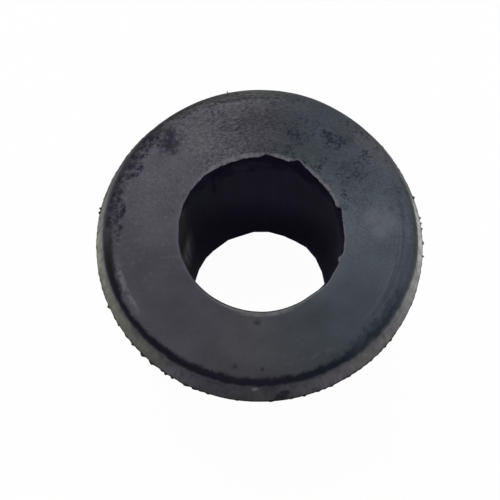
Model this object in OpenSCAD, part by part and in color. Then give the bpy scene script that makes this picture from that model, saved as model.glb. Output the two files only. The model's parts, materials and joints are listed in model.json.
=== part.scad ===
// Flanged rubber grommet: a thick drafted flange, a panel groove under it and
// a tapered nose that is pushed through the panel hole, all moulded in one
// piece round a bore that is straight at the top and narrows towards the nose.
// Flash was torn off it in two places: it left a ragged fin round the seam of
// the flange, and it took chips out of the lip of the bore.
// Millimetres. +Z runs up the bore, and the grommet stands on its nose at z = 0.

/* [Overall] */
// Height from the end of the nose to the flat top of the flange
total_h = 33.5; // [30:0.5:50]

/* [Bore] */
// Diameter of the straight upper part of the bore
bore_d = 25; // [12:0.5:26]
// Depth of the straight upper part, from the flat top
bore_straight_h = 21; // [10:0.5:26]
// Diameter of the bore at the end of the nose
bore_end_d = 23.2; // [10:0.2:24.6]
// Chamfer at the lower mouth of the bore
bore_chamfer = 0.4; // [0.2:0.1:1]

/* [Flange] */
// Diameter of the flange at its mould seam, without the flash
flange_d = 50; // [46:0.5:70]
// Height of the flange above its mould seam
flange_top_h = 4.5; // [3:0.1:8]
// Height of the flange below its mould seam
flange_low_h = 4; // [2:0.1:6]
// Slope of the side above the seam, in degrees from upright
top_draft = 20; // [2:1:25]
// Slope of the side below the seam, in degrees from upright
low_draft = 10; // [2:1:25]
// Radius of the shoulder between the side and the flat top
shoulder_r = 1.6; // [0.5:0.1:2.5]
// Radius of the edge between the side and the underside
under_edge_r = 0.8; // [0.2:0.1:1.5]

/* [Panel groove] */
// Diameter of the panel hole that the groove sits in
panel_hole_d = 32; // [30:0.5:34]
// Width of the groove, which is the thickness of panel that it grips
groove_w = 4; // [1.5:0.1:6]
// Radius in the two inner corners of the groove
groove_corner_r = 0.5; // [0.1:0.05:0.7]

/* [Nose] */
// How far the retaining shoulder of the nose stands out past the groove
catch_h = 2.5; // [1:0.1:3]
// Radius of the outer edge of that retaining shoulder
catch_edge_r = 0.8; // [0.2:0.1:1.2]
// Height of the straight band of the nose under the retaining shoulder
catch_band_h = 2; // [1.5:0.1:4]
// Diameter of the end of the nose
nose_end_d = 33; // [31.5:0.5:36]
// Radius of the outer edge at the end of the nose
nose_edge_r = 1.2; // [0.3:0.1:1.5]

/* [Flash at the flange seam] */
// Thickness of the fin of flash
fin_t = 0.3; // [0.1:0.05:0.6]
// Smallest width that the fin was trimmed to
fin_min = 0.1; // [0.05:0.05:0.3]
// How much wider than that the fin is left at its ragged teeth
fin_rag = 0.4; // [0.1:0.05:0.8]
// Number of torn teeth round the fin
fin_teeth = 120; // [40:10:180]

/* [Torn lip of the bore] */
// Depth of the torn edge round the upper mouth of the bore
lip_depth = 0.3; // [0.1:0.05:0.6]
// Width of the torn edge where the flash came away cleanly
lip_clean = 0.1; // [0.05:0.01:0.2]
// How much wider than that the deepest chips are
lip_chip = 0.35; // [0.1:0.05:1]
// Direction of the middle of the chipped stretch, counter-clockwise from +X
lip_chip_at = 73; // [0:1:360]
// Half the length of that stretch, in degrees of the bore's circle
lip_chip_half = 34; // [20:1:90]
// Number of torn facets round the lip
lip_facets = 72; // [36:4:120]

/* [Hidden] */

$fn = 128;
arc_steps = 6;          // straight steps in each rounded corner of the section
fin_points = 3;         // outline points to each tooth of the fin
fin_seed = 11;          // picks one tear pattern for the fin
lip_seed = 5;           // picks one tear pattern for the lip
fin_seat = 1;           // how deep the fin is rooted in the body
spare = 1;              // how far a cut runs past the surface that it opens

bore_r = bore_d / 2;
bore_end_r = bore_end_d / 2;
flange_r = flange_d / 2;
groove_r = panel_hole_d / 2;
catch_r = groove_r + catch_h;
nose_end_r = nose_end_d / 2;

seam_z = total_h - flange_top_h;
under_z = seam_z - flange_low_h;
catch_z = under_z - groove_w;
band_z = catch_z - catch_band_h;
bore_taper_z = total_h - bore_straight_h;

// Corners of the section, as [radius, height, corner radius], going round it
// from the lower mouth of the bore, out along the nose and up to the top.
section_corners = [
    [bore_end_r + bore_chamfer, 0, 0],
    [nose_end_r, 0, nose_edge_r],
    [catch_r, band_z, catch_edge_r],
    [catch_r, catch_z, catch_edge_r],
    [groove_r, catch_z, groove_corner_r],
    [groove_r, under_z, groove_corner_r],
    [flange_r - flange_low_h * tan(low_draft), under_z, under_edge_r],
    [flange_r, seam_z, 0],
    [flange_r - flange_top_h * tan(top_draft), total_h, shoulder_r],
    [bore_r, total_h, 0],
    [bore_r, bore_taper_z, 0],
    [bore_end_r, bore_chamfer, 0]
];

function unit(v) = v / norm(v);

// Points of the arc of radius r that rounds corner b, on the way from a to c.
function rounded_corner(a, b, c, r) =
    let (
        to_a = unit(a - b),
        to_c = unit(c - b),
        half = acos(to_a * to_c) / 2,
        centre = b + unit(to_a + to_c) * r / sin(half),
        from = b + to_a * r / tan(half) - centre,
        to = b + to_c * r / tan(half) - centre,
        start = atan2(from.y, from.x),
        turn = atan2(from.x * to.y - from.y * to.x, from * to)
    )
    [for (i = [0:arc_steps])
        centre + r * [cos(start + turn * i / arc_steps), sin(start + turn * i / arc_steps)]];

// Outline of a section from its corners, with the ones that have a radius rounded.
function section_outline(corners) =
    let (n = len(corners))
    [for (i = [0:n - 1])
        let (
            a = corners[(i + n - 1) % n],
            b = corners[i],
            c = corners[(i + 1) % n]
        )
        each b.z > 0
            ? rounded_corner([a.x, a.y], [b.x, b.y], [c.x, c.y], b.z)
            : [[b.x, b.y]]];

// Closed ring of points from a list of radii, evenly spaced round the axis.
function ring_points(radii) =
    let (n = len(radii))
    [for (i = [0:n - 1]) radii[i] * [cos(360 * i / n), sin(360 * i / n)]];

// 1 in the middle of a stretch of the circle, falling smoothly to 0 at its ends.
function stretch(angle, middle, half) =
    let (off = abs((angle - middle + 540) % 360 - 180))
    off < half ? pow(cos(90 * off / half), 0.6) : 0;

// Ragged edge of the fin: each tooth rises to its own height and is cut back
// between teeth, and a slow swell makes some stretches rougher than others.
module fin_outline() {
    n = fin_teeth * fin_points;
    tooth = rands(0, 1, fin_teeth, fin_seed);
    polygon(ring_points([for (i = [0:n - 1])
        let (
            k = floor(i / fin_points),
            swell = 0.6 + 0.4 * sin(3 * 360 * i / n + 200),
            rise = (i % fin_points == 1) ? tooth[k] : 0.35 * tooth[(k + 1) % fin_teeth]
        )
        flange_r + fin_min + fin_rag * swell * rise * rise]));
}

// Torn outline of the lip: straight facets between tears, with the deep chips
// only in the stretch where the flash pulled at it.
module lip_outline() {
    tear = rands(0, 1, lip_facets, lip_seed);
    polygon(ring_points([for (i = [0:lip_facets - 1])
        let (pulled = stretch(360 * i / lip_facets, lip_chip_at, lip_chip_half))
        bore_r + lip_clean * (1 + 0.4 * tear[i]) + lip_chip * pulled * tear[i] * tear[i]]));
}

module moulded_body() {
    rotate_extrude()
        polygon(section_outline(section_corners));
}

module flange_fin() {
    translate([0, 0, seam_z - fin_t / 2])
        linear_extrude(fin_t)
            difference() {
                fin_outline();
                circle(r = flange_r - fin_seat);
            }
}

module torn_lip() {
    translate([0, 0, total_h - lip_depth])
        linear_extrude(lip_depth + spare)
            lip_outline();
}

module grommet() {
    color([0.16, 0.16, 0.18])
        difference() {
            union() {
                moulded_body();
                flange_fin();
            }
            torn_lip();
        }
}

grommet();
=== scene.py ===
# %% [markdown]
# # A moulded rubber grommet
#
# This lesson dresses a rubber grommet: a thick flange, a panel groove, a tapered
# nose and a bore, all moulded in one piece. Its solid was made first, and it
# comes in here as a fixed frame with sizes that can be trusted. The same section
# is then drawn again as a far finer mesh, because the torn flash, the soft
# shoulder and the slightly uneven faces of a real moulding are shape and not
# paint. After that comes the finish of old black rubber: a grey bloom, edges
# rubbed back to black, stains, and a dull grain.

# %% Load the frame
import json
import math
import random

import bpy
from mathutils import Matrix, Vector, noise


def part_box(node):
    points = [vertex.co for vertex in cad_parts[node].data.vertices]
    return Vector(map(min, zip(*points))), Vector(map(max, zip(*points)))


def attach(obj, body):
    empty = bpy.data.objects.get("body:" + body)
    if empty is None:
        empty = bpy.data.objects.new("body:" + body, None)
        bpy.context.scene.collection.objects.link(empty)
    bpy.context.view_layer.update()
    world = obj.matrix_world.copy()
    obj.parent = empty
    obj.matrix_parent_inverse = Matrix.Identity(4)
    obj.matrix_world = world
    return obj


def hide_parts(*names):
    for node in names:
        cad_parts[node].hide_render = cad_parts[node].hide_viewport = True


MM = 0.001

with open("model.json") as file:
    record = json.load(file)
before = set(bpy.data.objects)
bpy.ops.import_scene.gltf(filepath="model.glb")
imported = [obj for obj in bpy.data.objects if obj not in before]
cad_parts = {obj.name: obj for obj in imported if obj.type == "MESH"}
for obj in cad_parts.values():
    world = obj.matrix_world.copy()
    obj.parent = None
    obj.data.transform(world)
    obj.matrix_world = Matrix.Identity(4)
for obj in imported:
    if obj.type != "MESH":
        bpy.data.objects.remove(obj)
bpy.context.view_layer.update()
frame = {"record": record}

# %% [markdown]
# ## Sizes
#
# Everything that the frame already knows is read from it: the height from the
# node's box, the bore and the groove from the record's mounts. What the frame
# doesn't hold, such as roundings and slopes, gets a named value in millimetres.
# Reading sizes this way is better than typing them twice, because the fine mesh
# can't drift away from the solid.

# %% Sizes of the grommet
low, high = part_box("grommet")
mounts = {mount["name"]: mount for mount in frame["record"]["mounts"]}
total_h = high[2] - low[2]
bore_r = mounts["bore"]["dims"]["r_mm"] * MM
bore_taper_z = mounts["bore"]["pos_m"][2] - mounts["bore"]["dims"]["length_mm"] * MM / 2
groove_r = mounts["panel_groove"]["dims"]["r_mm"] * MM
groove_w = mounts["panel_groove"]["dims"]["length_mm"] * MM
under_z = mounts["panel_groove"]["pos_m"][2] + groove_w / 2
catch_z = under_z - groove_w

flange_r = 25.0 * MM
seam_z = total_h - 4.5 * MM
top_draft = math.radians(20)
low_draft = math.radians(10)
shoulder_round = 1.6 * MM
under_edge_round = 0.8 * MM

catch_r = groove_r + 2.5 * MM
band_z = catch_z - 2.0 * MM
catch_round = 0.8 * MM
groove_round = 0.5 * MM
nose_end_r = 16.5 * MM
nose_round = 1.2 * MM
bore_end_r = 11.6 * MM
bore_chamfer = 0.4 * MM

shoulder_r = flange_r - (total_h - seam_z) * math.tan(top_draft)
low_edge_r = flange_r - (seam_z - under_z) * math.tan(low_draft)
face_edge_r = shoulder_r - shoulder_round / math.tan((math.pi / 2 + top_draft) / 2)
print("flange 2 x", flange_r / MM, "mm, flat face out to radius", round(face_edge_r / MM, 2), "mm")

# %% [markdown]
# ## The section, drawn once for every direction
#
# A grommet is a turned form, so a Screw modifier could spin one section round the
# axis. The flash is torn, though, and its width is different in every direction.
# The section is therefore a function: it takes the widths of the flash and gives
# the outline there. Each corner says how it is rounded and into how many steps
# the straight run after it is cut, so every direction has the same number of
# points and neighbours can be joined with plain quads.


# %% Corners and rounded corners
def corner(radius, height, rounding=0.0, arc=0, run=1):
    """A corner of the section, its rounding, and the steps in its arc and the run after it."""
    return {"at": Vector((radius, height)), "rounding": rounding, "arc": arc, "run": run}


def rounded(before, at, after, radius, steps):
    """Points of the arc that rounds the corner at, on the way from before to after."""
    to_before = (before - at).normalized()
    to_after = (after - at).normalized()
    half = to_before.angle(to_after) / 2
    centre = at + (to_before + to_after).normalized() * radius / math.sin(half)
    start = at + to_before * radius / math.tan(half) - centre
    end = at + to_after * radius / math.tan(half) - centre
    sweep = math.pi - 2 * half
    return [
        centre + (start * math.sin((1 - t) * sweep) + end * math.sin(t * sweep)) / math.sin(sweep)
        for t in (step / steps for step in range(steps + 1))
    ]


# %% The whole section
fin_root = 0.34 * MM
fin_tip = 0.12 * MM
lip_bevel = 0.32 * MM
bevel_round = 0.18 * MM
lip_drop = 0.16 * MM
full_tongue = 0.30 * MM
tongue_rise = 0.8
lip_skin = 0.22 * MM
chip_slope = 1.3
tip_round = 0.05 * MM
tip_undercut = 0.03 * MM
lip_root = 0.15 * MM
bore_bend = 40 * MM
mouth_z = 2.2 * MM
mouth_lean = 0.4


def section_corners(fin, lip, mouth, bevel):
    """The section's corners where the fin, the flash of lip and mouth, and the bevel are this wide."""
    chip = max(0.0, -lip)
    tongue = min(1.0, max(0.0, lip) / full_tongue)
    level = total_h - lip_drop * (1 - tongue_rise * tongue)
    lip_under = level - lip_skin - chip_slope * chip
    return [
        corner(bore_end_r + bore_chamfer, 0, run=3),
        corner(nose_end_r, 0, nose_round, 6, 7),
        corner(catch_r, band_z, catch_round, 4, 3),
        corner(catch_r, catch_z, catch_round, 5, 3),
        corner(groove_r, catch_z, groove_round, 4, 4),
        corner(groove_r, under_z, groove_round, 4, 8),
        corner(low_edge_r, under_z, under_edge_round, 5, 4),
        corner(flange_r, seam_z - fin_root / 2),
        corner(flange_r + fin, seam_z - fin_tip / 2),
        corner(flange_r + fin, seam_z + fin_tip / 2),
        corner(flange_r, seam_z + fin_root / 2, run=5),
        corner(shoulder_r, total_h, shoulder_round, 14, 22),
        corner(bore_r + bevel + chip, total_h, bevel_round, 3, 2),
        corner(bore_r - lip, level, tip_round, 2, 1),
        corner(bore_r - lip + tip_undercut, lip_under),
        corner(bore_r, lip_under - lip_root, run=7),
        corner(bore_r, bore_taper_z, bore_bend, 4, 6),
        corner(bore_end_r - mouth_lean * mouth, mouth_z),
        corner(bore_end_r - mouth, bore_chamfer),
    ]


def section_points(corners):
    """The closed section: corners rounded, straight runs cut into their steps."""
    turns = []
    for index, this in enumerate(corners):
        before = corners[index - 1]["at"]
        after = corners[(index + 1) % len(corners)]["at"]
        arc = rounded(before, this["at"], after, this["rounding"], this["arc"]) if this["arc"] else None
        turns.append(arc or [this["at"]])
    points = []
    for index, this in enumerate(corners):
        start = turns[index][-1]
        end = turns[(index + 1) % len(turns)][0]
        points += turns[index]
        points += [start.lerp(end, step / this["run"]) for step in range(1, this["run"])]
    return points


plain_section = section_points(section_corners(0.1 * MM, 0.05 * MM, 0.1 * MM, lip_bevel))
print("points in the section:", len(plain_section))

# %% [markdown]
# ## The fin of flash round the flange
#
# The mould's halves meet on the widest line of the flange, and a thin skin of
# rubber squeezes out between them. It is torn off by hand and leaves a ragged
# fin. A noise texture would make it wavy, but a tear leaves separate blunt
# scraps. Each scrap is one tooth with its own place, height and slopes: small
# ones are diced with a fixed seed, and the bold ones are listed one by one.

# %% Teeth of the fin
directions = 704
angles = [360 * index / directions for index in range(directions)]
fin_least = 0.05 * MM
fin_most = 0.26 * MM
bluntness = 1.5
small_bias = 1.6
steep_side = (0.5, 0.9)
shallow_side = (0.8, 1.8)
scrap_gap = (1.4, 3.2)

# Where small scraps stand higher: middle and half width in degrees, and the share of their height
rough_stretches = [(219, 16, 0.8), (240, 9, 0.7), (302, 24, 0.55)]
calm_share = 0.28

# Bold scraps: direction, height in mm, and half their width in degrees
bold_scraps = [
    (203.6, 0.30, 0.7), (211.0, 0.16, 0.6), (219.5, 0.22, 0.7), (224.6, 0.30, 1.2), (229.0, 0.32, 0.9),
    (235.0, 0.26, 0.8), (237.6, 0.22, 0.7), (242.5, 0.22, 0.9), (246.0, 0.15, 0.8), (251.0, 0.14, 0.7),
    (261.0, 0.12, 0.7), (266.0, 0.08, 0.8), (272.5, 0.14, 1.2), (279.5, 0.10, 0.9), (284.0, 0.16, 0.8),
    (289.0, 0.12, 0.8), (293.5, 0.10, 0.8), (300.7, 0.12, 1.0), (317.0, 0.16, 0.7), (320.0, 0.20, 0.8),
    (166.8, 0.36, 0.55), (168.4, 0.30, 0.55), (15.1, 0.30, 0.5), (7.2, 0.34, 0.5), (5.0, 0.28, 0.5),
    (3.0, 0.30, 0.5), (357.7, 0.30, 0.5), (352.8, 0.28, 0.5),
]


def angle_off(angle, middle):
    """Signed degrees from middle to angle, the short way round."""
    return (angle - middle + 540) % 360 - 180


def roughness_at(angle):
    """How much of their full height the small scraps keep in this direction."""
    near = [factor for middle, half, factor in rough_stretches if abs(angle_off(angle, middle)) < half]
    return max(near, default=calm_share)


def raise_tooth(widths, angle, height, rise, fall):
    """Widen the fin into one blunt tooth that rises and falls over so many degrees."""
    for index, here in enumerate(angles):
        off = angle_off(here, angle)
        shape = 1 + off / rise if off < 0 else 1 - off / fall
        if shape > 0:
            widths[index] = max(widths[index], fin_least + height * min(1.0, bluntness * shape))


def torn_fin():
    """Width of the fin in each direction."""
    dice = random.Random(11)
    widths = [fin_least] * directions
    angle = 0.0
    while angle < 360:
        height = fin_most * dice.random() ** small_bias * roughness_at(angle)
        slopes = [dice.uniform(*steep_side), dice.uniform(*shallow_side)]
        dice.shuffle(slopes)
        raise_tooth(widths, angle, height, *slopes)
        angle += dice.uniform(*scrap_gap)
    for angle, height, half in bold_scraps:
        raise_tooth(widths, angle, height * MM, half, half)
    return widths


fin_widths = torn_fin()
print("fin from", round(min(fin_widths) / MM, 2), "to", round(max(fin_widths) / MM, 2), "mm wide")

# %% [markdown]
# ## The torn lip and the torn mouth of the bore
#
# A skin of flash also closed the bore at both ends. At the top it came away
# cleanly on the near side, but on the far side it tore in facets, with tongues
# left standing and chips taken out of the lip. At the lower mouth the tears are
# longer and flatter. Each tear has its own character, so they are listed one by
# one, as the direction and width of every corner, and rubber tears straight from
# one corner to the next. A positive width stands into the bore, and a negative one
# is a chip. A little fine noise takes away the ruler-straight look. On the near
# side, where the flash came away cleanly, the lip has a wider bevel.

# %% Tears of the lip and the mouth, as directions and widths in mm
lip_tears = [
    (300, -0.02), (314, -0.18), (319, -0.34), (324, -0.24), (328, -0.16), (331, -0.24), (335.5, -0.20),
    (337.2, 0.10), (339.4, 0.12), (341, -0.20), (344, -0.34), (352, -0.30), (358, -0.12), (4, -0.06),
    (10, -0.14), (15.6, -0.30), (16.6, 0.26), (18, 0.32), (22, 0.22), (26, 0.24), (31, 0.34), (37, 0.43),
    (43, 0.35), (48, 0.38), (52, 0.26), (55, 0.20), (59.5, -0.28), (62, -0.34), (64.5, 0.14), (67.5, 0.52),
    (72, 0.43), (77, 0.42), (81, 0.16), (84.3, 0.08), (86.5, 0.34), (91, 0.66), (95, 0.58), (100, 0.62),
    (106, 0.66), (111, 0.56), (115, 0.62), (119, 0.50), (125, 0.42), (131, 0.29), (137, 0.30), (148, 0.21),
    (159, 0.22), (172, 0.24), (186, 0.25), (201, 0.20), (224, 0.14), (248, 0.10), (272, -0.02),
]
mouth_tears = [
    (7, 0.17), (19, 0.05), (32, -0.12), (45, -0.20), (56, 0.08), (67, 0.15), (81, 0.12), (94, 0.18),
    (107, 0.46), (118, 0.28), (127, 0.40), (135, 0.28), (144, 0.18), (156, 0.18), (166, 0.22), (250, 0.14),
]
longest_tear = 14

# Noise of the lip: where it is rough, how strong it is, and how fine
rough_lip = (-42, 150)
tear_noise = 0.075 * MM
calm_noise = 0.010 * MM
coarse_fray, fine_fray, fine_share = 18, 42, 0.7

# The bevel of the near lip: its direction, half its stretch in degrees, and its extra width
bevel_at, bevel_half, near_bevel = 266, 62, 0.34 * MM


def torn_width(angle, tears, radius):
    """Width of torn flash in this direction, where each tear runs straight from corner to corner."""
    for (start, start_width), (end, end_width) in zip(tears, tears[1:] + tears[:1]):
        span = (end - start) % 360
        off = (angle - start) % 360
        if off < span:
            break
    if span > longest_tear:
        return (start_width + (end_width - start_width) * off / span) * MM
    start_r = radius - start_width * MM
    end_r = radius - end_width * MM
    gone, left = math.radians(off), math.radians(span - off)
    tilt = start_r * math.sin(gone) + end_r * math.sin(left)
    return radius - start_r * end_r * math.sin(gone + left) / tilt


def lip_width(angle):
    """Width of the lip's flash in this direction, with its fine noise."""
    turn = (angle + 180) % 360 - 180
    ragged = tear_noise if rough_lip[0] < turn < rough_lip[1] else calm_noise
    way = Vector((math.cos(math.radians(angle)), math.sin(math.radians(angle)), 0))
    fray = noise.noise(way * coarse_fray) + fine_share * noise.noise(way * fine_fray)
    return torn_width(angle, lip_tears, bore_r) + ragged * fray


def bevel_width(angle):
    """Width of the lip's bevel, which is wider on the near side."""
    off = abs(angle_off(angle, bevel_at))
    near = math.cos(math.radians(off * 90 / bevel_half)) if off < bevel_half else 0.0
    return lip_bevel + near_bevel * near


lip_widths = [lip_width(angle) for angle in angles]
mouth_widths = [torn_width(angle, mouth_tears, bore_end_r) for angle in angles]
print("lip from", round(min(lip_widths) / MM, 2), "to", round(max(lip_widths) / MM, 2), "mm")

# %% [markdown]
# ## Unevenness of the moulding
#
# No rubber moulding is as true as its drawing. The faces rise and fall by a few
# hundredths of a millimetre, which is enough to bend a soft reflection, the
# flange is a little flat on one side, and there are a few knocks. Moving whole
# regions by a smooth field keeps the two sides of the thin flash together. A
# Displace modifier would do the same from a texture, but a plain function is
# easier to read and gives the same result everywhere.

# %% Fields that move the surface
face_wave = 0.045 * MM
side_wave = 0.06 * MM
long_wave = 7.0 * MM
short_wave = 1.9 * MM
face_ripple, side_ripple = 0.35, 0.3
ripple_shift = Vector((31, 7, 19))
side_shift = Vector((5, 41, 3))
foot_fade = 3.0 * MM
near_face = 0.4 * MM
just_under = 0.01 * MM

# Where the flange is a little flat: direction, half width in degrees, depth, and the radii it starts over
flat_at, flat_half, flat_deep = 28, 35, 0.34 * MM
flat_from, flat_over = 18 * MM, 4 * MM

# Knocks: on which surface, radius or depth below the top in mm, direction, reach and depth in mm
knocks = [
    ("face", 14.2, 267.7, 0.50, 0.07),
    ("face", 20.2, 45.5, 0.90, 0.05),
    ("face", 16.8, 38.0, 0.90, 0.05),
    ("face", 13.5, 14.3, 0.35, 0.05),
    ("face", 20.1, 8.7, 0.35, 0.05),
    ("side", 3.6, 275.0, 0.80, 0.06),
    ("side", 1.5, 267.0, 0.40, -0.14),
    ("side", 2.9, 226.0, 0.90, 0.08),
    ("side", 2.5, 300.0, 1.20, 0.06),
]


def knock_depth(kind, place, angle, radius):
    """How far the knocks of one kind push this spot in."""
    depth = 0.0
    for surface, at, middle, reach, deep in knocks:
        if surface == kind:
            across = math.radians(angle_off(angle, middle)) * radius
            off = math.hypot(across, place - at * MM) / (reach * MM)
            depth += deep * MM * math.exp(-off * off) if off < 3 else 0.0
    return depth


def uneven(radius, height, angle):
    """One point of the surface, moved off the drawing."""
    way = Vector((math.cos(math.radians(angle)), math.sin(math.radians(angle)), 0))
    point = way * radius + Vector((0, 0, height))
    slow = noise.noise(point / long_wave)
    quick = noise.noise(point / short_wave + ripple_shift)
    sideways = noise.noise(point / long_wave + side_shift)
    lift = face_wave * (slow + face_ripple * quick) * min(1.0, height / foot_fade)
    push = side_wave * (sideways + side_ripple * quick)
    if height > under_z - just_under:
        outer = min(1.0, max(0.0, (radius - flat_from) / flat_over))
        push -= flat_deep * outer * math.exp(-(angle_off(angle, flat_at) / flat_half) ** 2)
    if height > total_h - near_face and radius < face_edge_r:
        lift -= knock_depth("face", radius, angle, radius)
    if radius > face_edge_r and height > under_z:
        push -= knock_depth("side", total_h - height, angle, radius)
    return way * (radius + push) + Vector((0, 0, height + lift))


# %% [markdown]
# ## A hair of flash
#
# At the far side one thread of flash stands out from the seam. It is a tiny bent
# tube that tapers to a point, with its foot sunk in the flange. A curve with a
# bevel would do, but a few rings of points keep the grommet one mesh.

# %% One thread
hair_thickness = 0.30 * MM
hair_taper = 0.6


def thread(path, thickness, sides=5):
    """Points and faces of a tube along the path that tapers to its end."""
    points = []
    faces = []
    for index, place in enumerate(path):
        radius = thickness / 2 * (1 - hair_taper * index / (len(path) - 1))
        for side in range(sides):
            turn = 2 * math.pi * side / sides
            points.append(place + Vector((math.cos(turn), 0, math.sin(turn))) * radius)
    for index in range(len(path) - 1):
        for side in range(sides):
            a = index * sides + side
            b = index * sides + (side + 1) % sides
            faces.append((a, a + sides, b + sides, b))
    faces.append(tuple(range(sides)))
    faces.append(tuple(reversed(range(len(points) - sides, len(points)))))
    return points, faces


def on_ring(radius, angle, depth):
    """A place given by radius and depth below the top in mm, and a direction in degrees."""
    turn = math.radians(angle)
    return Vector((radius * math.cos(turn) * MM, radius * math.sin(turn) * MM, total_h - depth * MM))


hair_path = [on_ring(24.6, 100.5, 4.4), on_ring(25.1, 100.4, 4.1), on_ring(25.4, 100.6, 3.8)]
hair_points, hair_faces = thread(hair_path, hair_thickness)
print("points in the hair:", len(hair_points))

# %% [markdown]
# ## The mesh
#
# The section is set up in each direction, every point is moved off the drawing,
# and neighbouring sections are joined with quads. Two material slots are used:
# the outside, which carries the bloom, and the bore, which doesn't. A value on
# every point says whether it lies on the torn strip of the lip or on the strip's
# inner edge, because the material can't work out by itself where the tears ran.
# The mesh is shaded smooth, with real creases kept where two faces meet sharply.

# %% Points and faces
strip_edge = bore_r + lip_bevel / 2
strip_depth = 0.5 * MM
edge_slack = 0.02 * MM
wall_slack = 0.01 * MM
wall_top = total_h - 0.3 * MM


def strip_value(spot):
    """0 off the torn strip of the lip, 1 on it, and 2 on its inner edge."""
    if spot.x >= strip_edge or spot.y <= total_h - strip_depth:
        return 0.0
    return 2.0 if spot.x < bore_r + edge_slack else 1.0


def in_bore(spot, after):
    """Whether the face between these two points of the section belongs to the bore."""
    return max(spot.x, after.x) < bore_r + wall_slack and after.y < wall_top


points = []
for index, angle in enumerate(angles):
    corners = section_corners(fin_widths[index], lip_widths[index], mouth_widths[index], bevel_width(angle))
    points += [uneven(spot.x, spot.y, angle) for spot in section_points(corners)]

around = len(plain_section)
faces = []
bore_faces = []
for index in range(directions):
    here = index * around
    beyond = (index + 1) % directions * around
    for spot in range(around):
        step = (spot + 1) % around
        faces.append((here + spot, beyond + spot, beyond + step, here + step))
        bore_faces.append(int(in_bore(plain_section[spot], plain_section[step])))

faces += [tuple(len(points) + number for number in face) for face in hair_faces]
bore_faces += [0] * len(hair_faces)
strip_values = [strip_value(spot) for spot in plain_section] * directions + [0.0] * len(hair_points)
points += hair_points
print("faces:", len(faces), "of which in the bore:", sum(bore_faces))

# %% Build the grommet's mesh
crease_angle = math.radians(38)

mesh = bpy.data.meshes.new("grommet_moulding")
mesh.from_pydata(points, [], faces)
mesh.polygons.foreach_set("material_index", bore_faces)
mesh.attributes.new("lip_strip", "FLOAT", "POINT").data.foreach_set("value", strip_values)
mesh.shade_smooth()
mesh.set_sharp_from_angle(angle=crease_angle)
mesh.update()
grommet = bpy.data.objects.new("grommet_moulding", mesh)
bpy.context.scene.collection.objects.link(grommet)
print("triangles:", sum(len(polygon.vertices) - 2 for polygon in mesh.polygons))

# %% [markdown]
# ## Helpers for shader nodes
#
# A material is a network, and written out node by node it is hard to read. Small
# helpers let it be written as a sum instead: one adds a node with its values and
# links, and the others do arithmetic, map a number smoothly from 0 to 1, and mix
# two colours. A socket knows the tree it belongs to, so they ask the sockets that
# they are given where the new node goes. Masks are joined in two ways. Where all
# of them meet is their product, and where any of them lies is the largest.


# %% Node helpers
def add(tree, kind, sockets=None, **settings):
    """A new node with its settings made, and its sockets set or linked."""
    node = tree.nodes.new(kind)
    for name, value in settings.items():
        setattr(node, name, value)
    for socket, value in (sockets or {}).items():
        if isinstance(value, bpy.types.NodeSocket):
            tree.links.new(value, node.inputs[socket])
        else:
            node.inputs[socket].default_value = value
    return node


def tree_of(*values):
    """The node tree of the first socket among the values."""
    return next(value.id_data for value in values if isinstance(value, bpy.types.NodeSocket))


def sum_of(operation, a, b=0.0):
    """The result of one Math node."""
    return add(tree_of(a, b), "ShaderNodeMath", {0: a, 1: b}, operation=operation).outputs[0]


def chain(operation, first, *others):
    """The result of Math nodes in a row that take in all the values."""
    for other in others:
        first = sum_of(operation, first, other)
    return first


def plus(*values):
    """All the values added up."""
    return chain("ADD", *values)


def minus(value, taken):
    """The value with the other taken away."""
    return sum_of("SUBTRACT", value, taken)


def both(*masks):
    """Where all the masks meet."""
    return chain("MULTIPLY", *masks)


def either(*masks):
    """Where any of the masks lies."""
    return chain("MAXIMUM", *masks)


def inverse(mask):
    """Where the mask doesn't lie."""
    return minus(1.0, mask)


def rise(value, start, end):
    """0 below start, 1 above end, and smooth between them."""
    sockets = {"Value": value, "From Min": start, "From Max": end}
    node = add(tree_of(value), "ShaderNodeMapRange", sockets, interpolation_type="SMOOTHSTEP")
    return node.outputs["Result"]


def vector_of(operation, sockets):
    """The vector that comes out of one Vector Math node."""
    return add(tree_of(*sockets.values()), "ShaderNodeVectorMath", sockets, operation=operation).outputs[0]


def mixed(factor, a, b, blend="MIX"):
    """Colour a with colour b laid over it."""
    sockets = {0: factor, 6: a, 7: b}
    return add(tree_of(factor), "ShaderNodeMix", sockets, data_type="RGBA", blend_type=blend).outputs[2]


def laid_over(colour, layers, blend="MIX"):
    """The colour under layers, each a paint with the masks and shares that say how much lies where."""
    for paint, *masks in layers:
        colour = mixed(both(*masks), colour, paint, blend)
    return colour


# %% Helpers for node groups
def new_group(name, inputs, outputs):
    """An empty node group with named sockets, and its input and output sockets."""
    group = bpy.data.node_groups.new(name, "ShaderNodeTree")
    for label, kind, value in inputs:
        socket = group.interface.new_socket(label, in_out="INPUT", socket_type="NodeSocket" + kind)
        if value is not None:
            socket.default_value = value
    for label, kind in outputs:
        group.interface.new_socket(label, in_out="OUTPUT", socket_type="NodeSocket" + kind)
    source = group.nodes.new("NodeGroupInput").outputs
    sink = group.nodes.new("NodeGroupOutput").inputs
    return group, source, sink


def use(group, sockets):
    """The outputs of a node group that is placed in a material with these values."""
    return add(tree_of(*sockets.values()), "ShaderNodeGroup", sockets, node_tree=group).outputs


# %% [markdown]
# ## Where a spot lies on the ring
#
# Wear and stains follow the form, so every mask needs to know where it is: how
# far out, how high, in which direction, and how far past the edge of the flat
# face. UVs could carry this, but the object's own coordinates already do, and
# they need no unwrapping. This group turns them into millimetres and degrees.


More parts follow.
